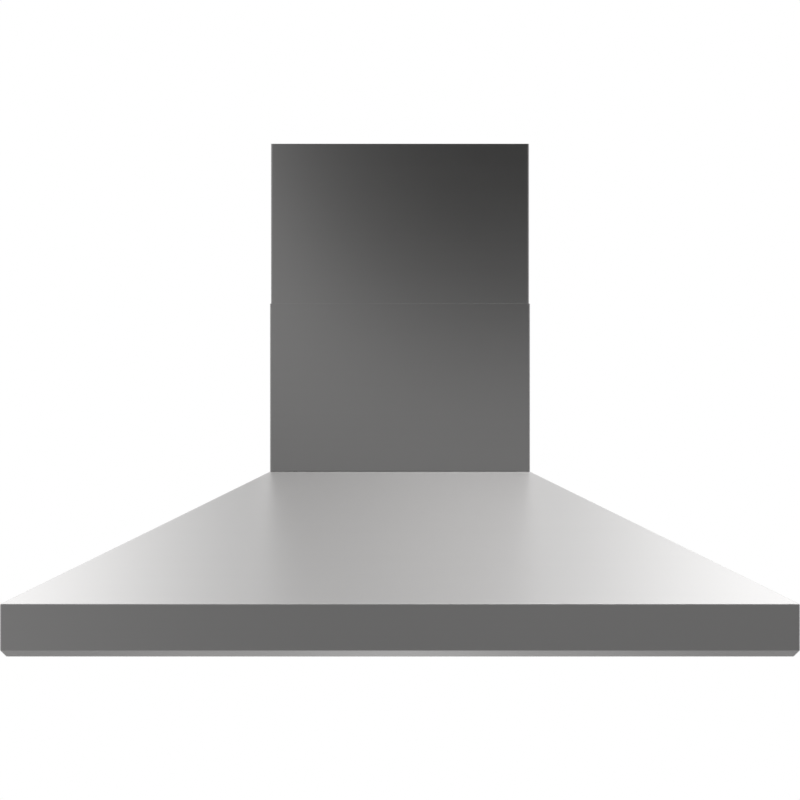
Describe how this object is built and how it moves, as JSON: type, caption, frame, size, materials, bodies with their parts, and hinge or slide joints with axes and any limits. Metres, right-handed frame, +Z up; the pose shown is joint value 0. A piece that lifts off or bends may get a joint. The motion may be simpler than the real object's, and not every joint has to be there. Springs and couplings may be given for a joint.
{
  "type": "chimney range hood",
  "caption": "Wall-mounted chimney range hood: pyramid canopy with a folded apron, tilting baffle filters, push buttons, lamps, centrifugal blower with a damper, and a telescoping chimney.",
  "frame": {"origin": "centre of the rear face of the canopy's back panel, on the wall plane", "axes": "+Z up, -Y towards the cook, +Y into the wall, +X to the right as seen from the front"},
  "size_m": [0.914, 0.5, 0.5883],
  "materials": {
    "brushed_steel_skin": "fine horizontal brushed grain",
    "galvanised_sheet": "plain zinc-coated sheet",
    "bright_steel": "bright polished steel",
    "cast_aluminium": "satin",
    "black_plastic": "fine matt texture",
    "grey_plastic": "moulded, matt",
    "black_rubber": "matt",
    "cable_sheath": "smooth sheath",
    "frosted_glass": "frosted",
    "circuit_board": "lacquered board"
  },
  "bodies": {
    "hood": {"canopy_shell": "brushed_steel_skin", "lower_chimney_cover": "brushed_steel_skin", "underside_panel": "brushed_steel_skin", "button_plate": "brushed_steel_skin", "canopy_back_panel": "galvanised_sheet", "filter_rail_rear": "galvanised_sheet", "filter_rail_front": "galvanised_sheet", "blower_box": "galvanised_sheet", "motor_spider": "galvanised_sheet", "capacitor_clip": "galvanised_sheet", "filter_clip_left": "bright_steel", "filter_clip_centre": "bright_steel", "filter_clip_right": "bright_steel", "lamp_bezel_left": "bright_steel", "lamp_bezel_right": "bright_steel", "damper_pin": "bright_steel", "lamp_housing_left": "cast_aluminium", "lamp_housing_right": "cast_aluminium", "motor": "cast_aluminium", "capacitor": "cast_aluminium", "switch_housing": "black_plastic", "outlet_adapter": "black_plastic", "mains_gland": "black_plastic", "lamp_driver": "black_plastic", "scroll_left": "grey_plastic", "scroll_right": "grey_plastic", "junction_box": "grey_plastic", "junction_lid": "grey_plastic", "outlet_gasket": "black_rubber", "motor_bush_rear": "black_rubber", "motor_bush_front": "black_rubber", "motor_bush_lower": "black_rubber", "lead_grommet": "black_rubber", "motor_lead": "cable_sheath", "lamp_lead_left": "cable_sheath", "lamp_lead_right": "cable_sheath", "control_lead": "cable_sheath", "lamp_lens_left": "frosted_glass", "lamp_lens_right": "frosted_glass", "switch_board": "circuit_board"},
    "upper_chimney": {"upper_chimney_cover": "brushed_steel_skin", "chimney_wall_bracket": "galvanised_sheet"},
    "wheel": {"blower_wheel": "grey_plastic", "motor_shaft": "bright_steel"},
    "damper_front": {"damper_flap_front": "black_plastic"},
    "damper_rear": {"damper_flap_rear": "black_plastic"},
    "filter_left": {"filter_frame_left": "brushed_steel_skin", "filter_baffles_left": "brushed_steel_skin"},
    "handle_left": {"filter_handle_left": "bright_steel"},
    "filter_centre": {"filter_frame_centre": "brushed_steel_skin", "filter_baffles_centre": "brushed_steel_skin"},
    "handle_centre": {"filter_handle_centre": "bright_steel"},
    "filter_right": {"filter_frame_right": "brushed_steel_skin", "filter_baffles_right": "brushed_steel_skin"},
    "handle_right": {"filter_handle_right": "bright_steel"},
    "push_light": {"button_light": "bright_steel"},
    "push_low": {"button_low": "bright_steel"},
    "push_medium": {"button_medium": "bright_steel"},
    "push_high": {"button_high": "bright_steel"},
    "push_off": {"button_off": "bright_steel"}
  },
  "joints": [
    {"name": "upper_chimney_slide", "type": "slide", "parent": "hood", "child": "upper_chimney", "axis": [0, 0, 1], "range_m": [-0.01, 0.12]},
    {"name": "wheel_spin", "type": "hinge", "parent": "hood", "child": "wheel", "pos_m": [0, -0.16, 0.2118], "axis": [1, 0, 0], "continuous": true},
    {"name": "damper_front_swing", "type": "hinge", "parent": "hood", "child": "damper_front", "pos_m": [0, -0.12, 0.3781], "axis": [-1, 0, 0], "range_deg": [0, 75]},
    {"name": "damper_rear_swing", "type": "hinge", "parent": "hood", "child": "damper_rear", "pos_m": [0, -0.12, 0.3781], "axis": [1, 0, 0], "range_deg": [0, 75]},
    {"name": "filter_left_tilt", "type": "hinge", "parent": "hood", "child": "filter_left", "pos_m": [-0.29, -0.038, -0.0842], "axis": [1, 0, 0], "range_deg": [0, 70]},
    {"name": "handle_left_fold", "type": "hinge", "parent": "filter_left", "child": "handle_left", "pos_m": [-0.29, -0.353, -0.088], "axis": [-1, 0, 0], "range_deg": [0, 95]},
    {"name": "filter_centre_tilt", "type": "hinge", "parent": "hood", "child": "filter_centre", "pos_m": [0, -0.038, -0.0842], "axis": [1, 0, 0], "range_deg": [0, 70]},
    {"name": "handle_centre_fold", "type": "hinge", "parent": "filter_centre", "child": "handle_centre", "pos_m": [0, -0.353, -0.088], "axis": [-1, 0, 0], "range_deg": [0, 95]},
    {"name": "filter_right_tilt", "type": "hinge", "parent": "hood", "child": "filter_right", "pos_m": [0.29, -0.038, -0.0842], "axis": [1, 0, 0], "range_deg": [0, 70]},
    {"name": "handle_right_fold", "type": "hinge", "parent": "filter_right", "child": "handle_right", "pos_m": [0.29, -0.353, -0.088], "axis": [-1, 0, 0], "range_deg": [0, 95]},
    {"name": "push_light_press", "type": "slide", "parent": "hood", "child": "push_light", "axis": [0, 0, 1], "range_m": [0, 0.002], "stiffness_N_per_m": 600, "springref_m": -0.001},
    {"name": "push_low_press", "type": "slide", "parent": "hood", "child": "push_low", "axis": [0, 0, 1], "range_m": [0, 0.002], "stiffness_N_per_m": 600, "springref_m": -0.001},
    {"name": "push_medium_press", "type": "slide", "parent": "hood", "child": "push_medium", "axis": [0, 0, 1], "range_m": [0, 0.002], "stiffness_N_per_m": 600, "springref_m": -0.001},
    {"name": "push_high_press", "type": "slide", "parent": "hood", "child": "push_high", "axis": [0, 0, 1], "range_m": [0, 0.002], "stiffness_N_per_m": 600, "springref_m": -0.001},
    {"name": "push_off_press", "type": "slide", "parent": "hood", "child": "push_off", "axis": [0, 0, 1], "range_m": [0, 0.002], "stiffness_N_per_m": 600, "springref_m": -0.001}
  ]
}
